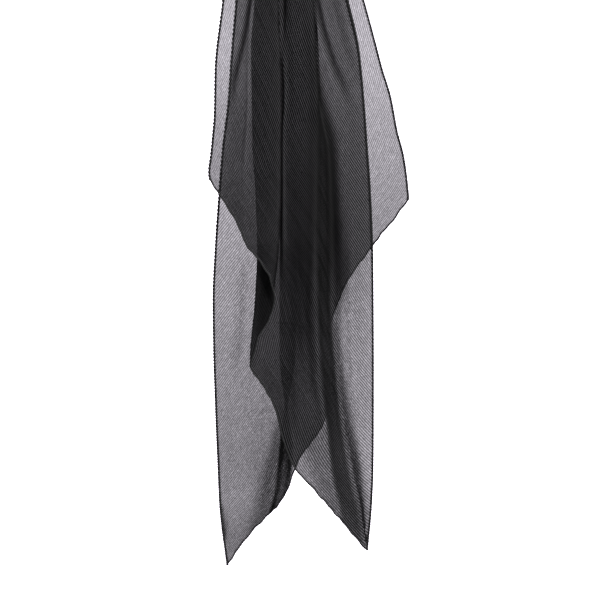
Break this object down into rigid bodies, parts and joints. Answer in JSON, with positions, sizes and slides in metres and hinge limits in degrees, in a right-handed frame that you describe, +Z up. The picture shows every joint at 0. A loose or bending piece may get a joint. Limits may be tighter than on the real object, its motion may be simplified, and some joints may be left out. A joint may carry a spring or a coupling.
{
  "type": "pleated chiffon stole",
  "caption": "Sheer micro-pleated stole with slanted ends, hung doubled over its middle: gathered bight, two overlapping falls with soft turned folds, overlocked long edges and rolled end hems.",
  "frame": {"origin": "highest point of the inside of the bight, where the stole is held", "axes": "+Z up, +X to the right seen from the front, -Y towards the front fall"},
  "size_m": [0.2838, 0.0636, 1.0537],
  "materials": {
    "pleated_chiffon": "sheer, matt, with a faint sheen on the pleats",
    "edge_thread": "matt black overlock thread",
    "rolled_hem": "matt black rolled cloth"
  },
  "bodies": {
    "root": {"front_left_stretch": "pleated_chiffon", "front_first_turn": "pleated_chiffon", "front_middle_stretch": "pleated_chiffon", "front_second_turn": "pleated_chiffon", "front_right_stretch": "pleated_chiffon", "back_right_stretch": "pleated_chiffon", "back_first_turn": "pleated_chiffon", "back_middle_stretch": "pleated_chiffon", "back_second_turn": "pleated_chiffon", "back_left_stretch": "pleated_chiffon", "top_bight": "pleated_chiffon", "left_edge_overlock": "edge_thread", "right_edge_overlock": "edge_thread", "front_end_hem": "rolled_hem", "back_end_hem": "rolled_hem"}
  },
  "joints": []
}
